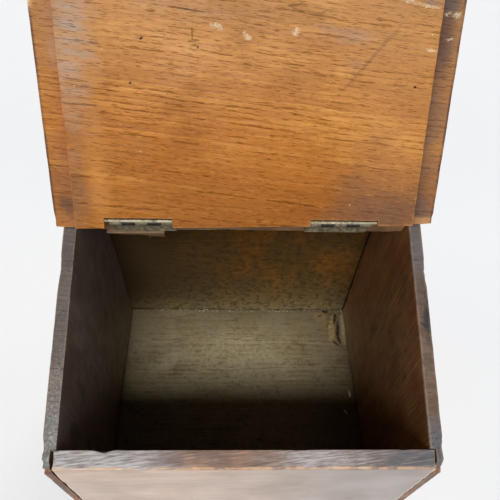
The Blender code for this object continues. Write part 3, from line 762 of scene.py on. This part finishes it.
lid_lie = lid_frame @ Matrix.Rotation(math.radians(6), 4, "Z") @ Matrix.Translation((0, 0.14, 0.12))
material, tree, place, tone, pores, height = oak(
    "lid_oak", lid_lie, ring_pitch=0.0034, wander=0.009, pore_length=0.0075, pore_width=0.00040)
grain, board = laid(tree, place, lid_lie), laid(tree, place, lid_frame)
x, y, _ = axes(tree, board)


def broad(centre, size, ragged_edge, grit_scale):
    """A wide, soft patch on the field."""
    return blemish(tree, board, (*centre, field_level), (*size, 0.05), 0.0, ragged_edge, grit_scale, 0.95)


smoky = cloud(tree, board, 24.0, 4.0, 0.55, (1, 1.7, 1))
low_end = times(tree, span(tree, y, -0.075, 0.0), span(tree, x, -0.115, -0.05, 0.6, 1.0))
glow_patch = broad((0.0, -0.050), (0.115, 0.060), 0.3, 30.0)
dark_corner = broad((0.112, -0.010), (0.072, 0.050), 0.35, 40.0)
sallow = broad((-0.1275, -0.022), (0.022, 0.060), 0.35, 40.0)
bright = broad((-0.1085, -0.040), (0.0130, 0.100), 0.45, 40.0)
fleck = cloud(tree, grain, 1.0, 3.0, 0.6, (170, 900, 900))
rubbing = span(tree, cloud(tree, grain, 1.0, 4.0, 0.6, (40, 260, 260)), 0.35, 0.65, 0.3, 0.85)
# Painted sheen: grey on the field near the left lip, streaked by rubbing.
sheen = times(tree, broad((-0.119, -0.138), (0.023, 0.095), 0.4, 50.0), span(tree, rubbing, 0.3, 0.85, 0.45, 0.95))
field_tones = (0.05, (112, 64, 16)), (0.38, (146, 87, 25)), (0.62, (163, 102, 35)), (0.95, (190, 134, 62))
under = coats(
    tree, stain_steps(tree, tone, *field_tones),
    ((126, 76, 34), span(tree, smoky, 0.46, 0.70, 0.0, 0.5)),
    ((116, 62, 4), times(tree, low_end, 0.70)),
    ((150, 84, 2), times(tree, glow_patch, 0.45)),
    ((168, 122, 78), span(tree, x, 0.05, 0.11, 0.0, 0.28)),
    ((88, 62, 48), times(tree, dark_corner, 0.72)),
    ((108, 78, 56), times(tree, sallow, 0.6)),
    ((172, 114, 54), times(tree, bright, 0.5)),
    ((160, 124, 82), span(tree, y, -0.060, -0.150, 0.0, 0.36)),
    ((98, 54, 16), span(tree, fleck, 0.56, 0.72, 0.0, 0.35)),
    ((206, 152, 84), span(tree, fleck, 0.42, 0.28, 0.0, 0.2)),
    ((150, 126, 108), sheen))
dull = cloud(tree, place, 24.0, 4.0, 0.55)
outer = coats(
    tree, stain_steps(tree, tone, (0.1, (78, 44, 22)), (0.5, (132, 82, 44)), (0.9, (170, 116, 68))),
    ((84, 54, 32), span(tree, dull, 0.45, 0.75, 0.0, 0.6)))

below, strip, step = worn(tree, "under"), worn(tree, "strip"), worn(tree, "step")
grey_lip = times(tree, strip, span(tree, x, -0.12, 0.12, 0.12, 1.0), span(tree, x, 0.134, 0.143, 1.0, 0.6))
upper_lip = times(tree, strip, span(tree, x, 0.146, 0.135, 0.25, 1.0), span(tree, x, 0.0, 0.12))
lip_end = times(tree, strip, span(tree, x, -0.12, 0.12, 0.25, 1.0))
smudge = blemish(tree, board, (-0.1355, -0.0150, -0.0092), (0.0075, 0.0130, 0.02), 0.2, 0.6, 90.0, 0.8)
wood = coats(
    tree, wash(tree, outer, under, below),
    ((78, 42, 14), times(tree, pores, span(tree, x, 0.03, 0.11, 0.5, 0.32))),
    ((100, 84, 76), times(tree, grey_lip, span(tree, smoky, 0.35, 0.65, 0.25, 0.6))),
    ((74, 54, 48), times(tree, upper_lip, span(tree, y, -0.09, -0.125, 0.1, 0.75))),
    ((184, 134, 88), times(tree, lip_end, span(tree, y, -0.0085, -0.0065, 0.0, 0.6))),
    # Painted shade from the field on the right lip's corner; on the left lip the same mask gives a reddish tint.
    ((46, 25, 13), times(tree, step, span(tree, x, -0.12, 0.12, 0.0, 0.8))),
    ((132, 66, 26), times(tree, step, span(tree, x, 0.12, -0.12, 0.0, 0.5))),
    ((70, 52, 40), times(tree, smudge, below, 0.55)))
wood = rubbed(tree, place, wood, (176, 124, 72), amount=0.5, grit=110.0)
end_edge = span(tree, sums(tree, "ABSOLUTE", x), 0.1436, 0.1452)
# Painted highlight: a pale line along the arris at the top of the lid's left end.
painted_arris_highlight = blemish(tree, board, (-0.1455, -0.172, -0.006), (0.0045, 0.040, 0.02), 0.0, 0.35, 120.0, 0.6)
wood = coats(
    tree, wood,
    ((62, 40, 36), times(tree, end_edge, span(tree, smoky, 0.36, 0.58, 0.25, 0.75))),
    ((236, 196, 148), times(tree, painted_arris_highlight, worn(tree, "arris"), 0.8)))

# Old spots of lime wash, scuffs, scratches and pin holes on the underside.
limewash = any_of(tree, [
    blemish(tree, board, (*centre, spot_level), (*size, 0.02), turn, 0.9, 340.0, 0.7) for centre, size, turn in (
        ((0.1080, -0.1510), (0.0080, 0.0014), -0.15), ((0.1195, -0.1492), (0.0090, 0.0016), -0.13),
        ((0.1350, -0.1455), (0.0050, 0.0020), 0.1), ((0.1405, -0.1450), (0.0045, 0.0026), 0.3),
        ((0.1382, -0.1304), (0.0028, 0.0016), 0.3), ((0.1244, -0.1231), (0.0048, 0.0013), -0.2),
        ((-0.0205, -0.1345), (0.0060, 0.0026), -0.5), ((-0.0015, -0.1300), (0.0045, 0.0026), -0.7),
        ((0.0315, -0.1325), (0.0040, 0.0026), 0.6))])
limewash = times(tree, limewash, span(tree, cloud(tree, board, 620.0, 3.0, 0.6), 0.36, 0.56, 0.2, 1.0))
wood = coats(tree, wood, ((202, 184, 152), times(tree, limewash, below, 0.56)))
for centre, size, tint, amount in (
        ((0.0660, -0.1310), (0.0260, 0.0080), (136, 116, 106), 0.6),
        ((0.0740, -0.1130), (0.0120, 0.0100), (116, 92, 74), 0.4),
        ((0.1205, -0.1515), (0.0090, 0.0028), (96, 92, 92), 0.7),
        ((0.1370, -0.1510), (0.0100, 0.0055), (78, 74, 76), 0.75),
        ((0.0400, -0.1440), (0.0240, 0.0060), (104, 72, 40), 0.45),
        ((-0.0280, -0.1420), (0.0200, 0.0050), (128, 106, 92), 0.4)):
    bruise = blemish(tree, board, (*centre, spot_level), (*size, 0.03), -0.1, 0.6, 110.0, 0.9)
    wood = coats(tree, wood, (tint, times(tree, bruise, below, rubbing, amount)))
graze = blemish(tree, board, (0.083, -0.116, field_level), (0.044, 0.0019, 0.02), 0.855, 0.5, 260.0, 0.95)
holes = any_of(tree, [
    blemish(tree, board, (*centre, field_level), (*size, 0.02), 0.5, 0.35, 420.0, 0.5) for centre, size in (
        ((-0.0715, -0.1272), (0.0017, 0.0011)), ((-0.0338, -0.1224), (0.0012, 0.0009)),
        ((0.1165, -0.1000), (0.0013, 0.0011)), ((-0.0807, -0.0996), (0.0014, 0.0009)))])
scratch = times(tree, any_of(tree, [
    blemish(tree, board, (*centre, field_level), (*size, 0.02), turn, 0.12, 300.0) for centre, size, turn in (
        ((-0.0375, -0.1300), (0.0006, 0.0050), 0.0), ((-0.0370, -0.1260), (0.0050, 0.0006), 0.1),
        ((0.0300, -0.1480), (0.0060, 0.0008), 0.1), ((-0.0410, -0.1445), (0.0140, 0.0006), -0.13))]), below)
wood = coats(
    tree, wood,
    ((104, 68, 44), times(tree, graze, below, 0.5)),
    ((72, 42, 22), times(tree, scratch, span(tree, rubbing, 0.3, 0.85, 0.2, 0.7))),
    ((34, 18, 8), times(tree, holes, below, 0.9)))
# Pale specks: dust, and partly painted glints.
wood = dusted(tree, place, wood, spacing=0.011, share=0.3, amount=0.7, tint=(232, 210, 170))
relief = sums(tree, "SUBTRACT", height, scratch)
polish(lid, material, wood, span(tree, smoky, 0.3, 0.7, 0.38, 0.55), relief, depth=0.00025, specular=0.12)


# ---------------------------------------------------------------- floor, light and camera
# A plain pale studio floor, one soft distant lamp in front and above, almost in the middle,
# a low weak one behind, and a sky that is pale at the horizon. The camera looks down into the box.
bpy.ops.object.select_all(action="DESELECT")
bpy.ops.mesh.primitive_plane_add(size=9.0, location=(0, 0, -0.0002))
studio_floor = bpy.context.object
studio_floor.name = "studio_floor"
paper, tree, place = blank("pale_floor_paper")
mottle = cloud(tree, place, 3.0, 3.0)
paper_tones = (0.3, (0.745, 0.755, 0.765, 1)), (0.7, (0.775, 0.78, 0.785, 1))
shader = add(tree, "ShaderNodeBsdfPrincipled", {
    "Base Color": stain_steps(tree, mottle, *paper_tones), "Roughness": 0.9, "Specular IOR Level": 0.1})
add(tree, "ShaderNodeOutputMaterial", {"Surface": shader.outputs[0]})
clothe(studio_floor, paper)

scene = bpy.context.scene
scene.view_settings.view_transform = "Standard"
world = bpy.data.worlds.new("studio_sky")
scene.world = world
world.use_nodes = True
tree = world.node_tree
tree.nodes.clear()
upward = axes(tree, add(tree, "ShaderNodeTexCoord").outputs["Generated"])[2]
sky_tones = (0.0, (0.66, 0.67, 0.69, 1)), (0.30, (0.42, 0.43, 0.45, 1)), (0.62, (0.03, 0.03, 0.033, 1))
glow = add(tree, "ShaderNodeBackground", {"Color": stain_steps(tree, upward, *sky_tones), "Strength": 1.0})
add(tree, "ShaderNodeOutputWorld", {"Surface": glow.outputs[0]})

for name, azimuth, elevation, spread, power in (
        ("front_lamp", 182.5, 47.8, 22.0, 3.95), ("rear_lamp", 20.0, 25.0, 24.0, 0.9)):
    lamp = bpy.data.lights.new(name, "SUN")
    lamp.angle, lamp.energy = math.radians(spread), power
    post = bpy.data.objects.new(name, lamp)
    scene.collection.objects.link(post)
    turn, rise = math.radians(azimuth), math.radians(elevation)
    away = Vector((math.sin(turn) * math.cos(rise), math.cos(turn) * math.cos(rise), math.sin(rise)))
    post.location = away * 3.0
    post.rotation_euler = away.to_track_quat("Z", "Y").to_euler()

lens = bpy.data.cameras.new("viewer")
viewer = bpy.data.objects.new("viewer", lens)
scene.collection.objects.link(viewer)
lens.sensor_width, lens.lens = 36.0, 35.669
lens.shift_x, lens.shift_y = 0.017, 0.103
lens.clip_start = 0.01
pan, look_down, roll = math.radians(-2.5855), math.radians(56.2436), math.radians(2.4659)
viewer.location = (-0.011961, -0.226619, 0.544368)
viewer.rotation_euler = (
    Matrix.Rotation(pan, 3, "Z") @ Matrix.Rotation(math.pi / 2 - look_down, 3, "X")
    @ Matrix.Rotation(roll, 3, "Z")).to_euler()
scene.camera = viewer
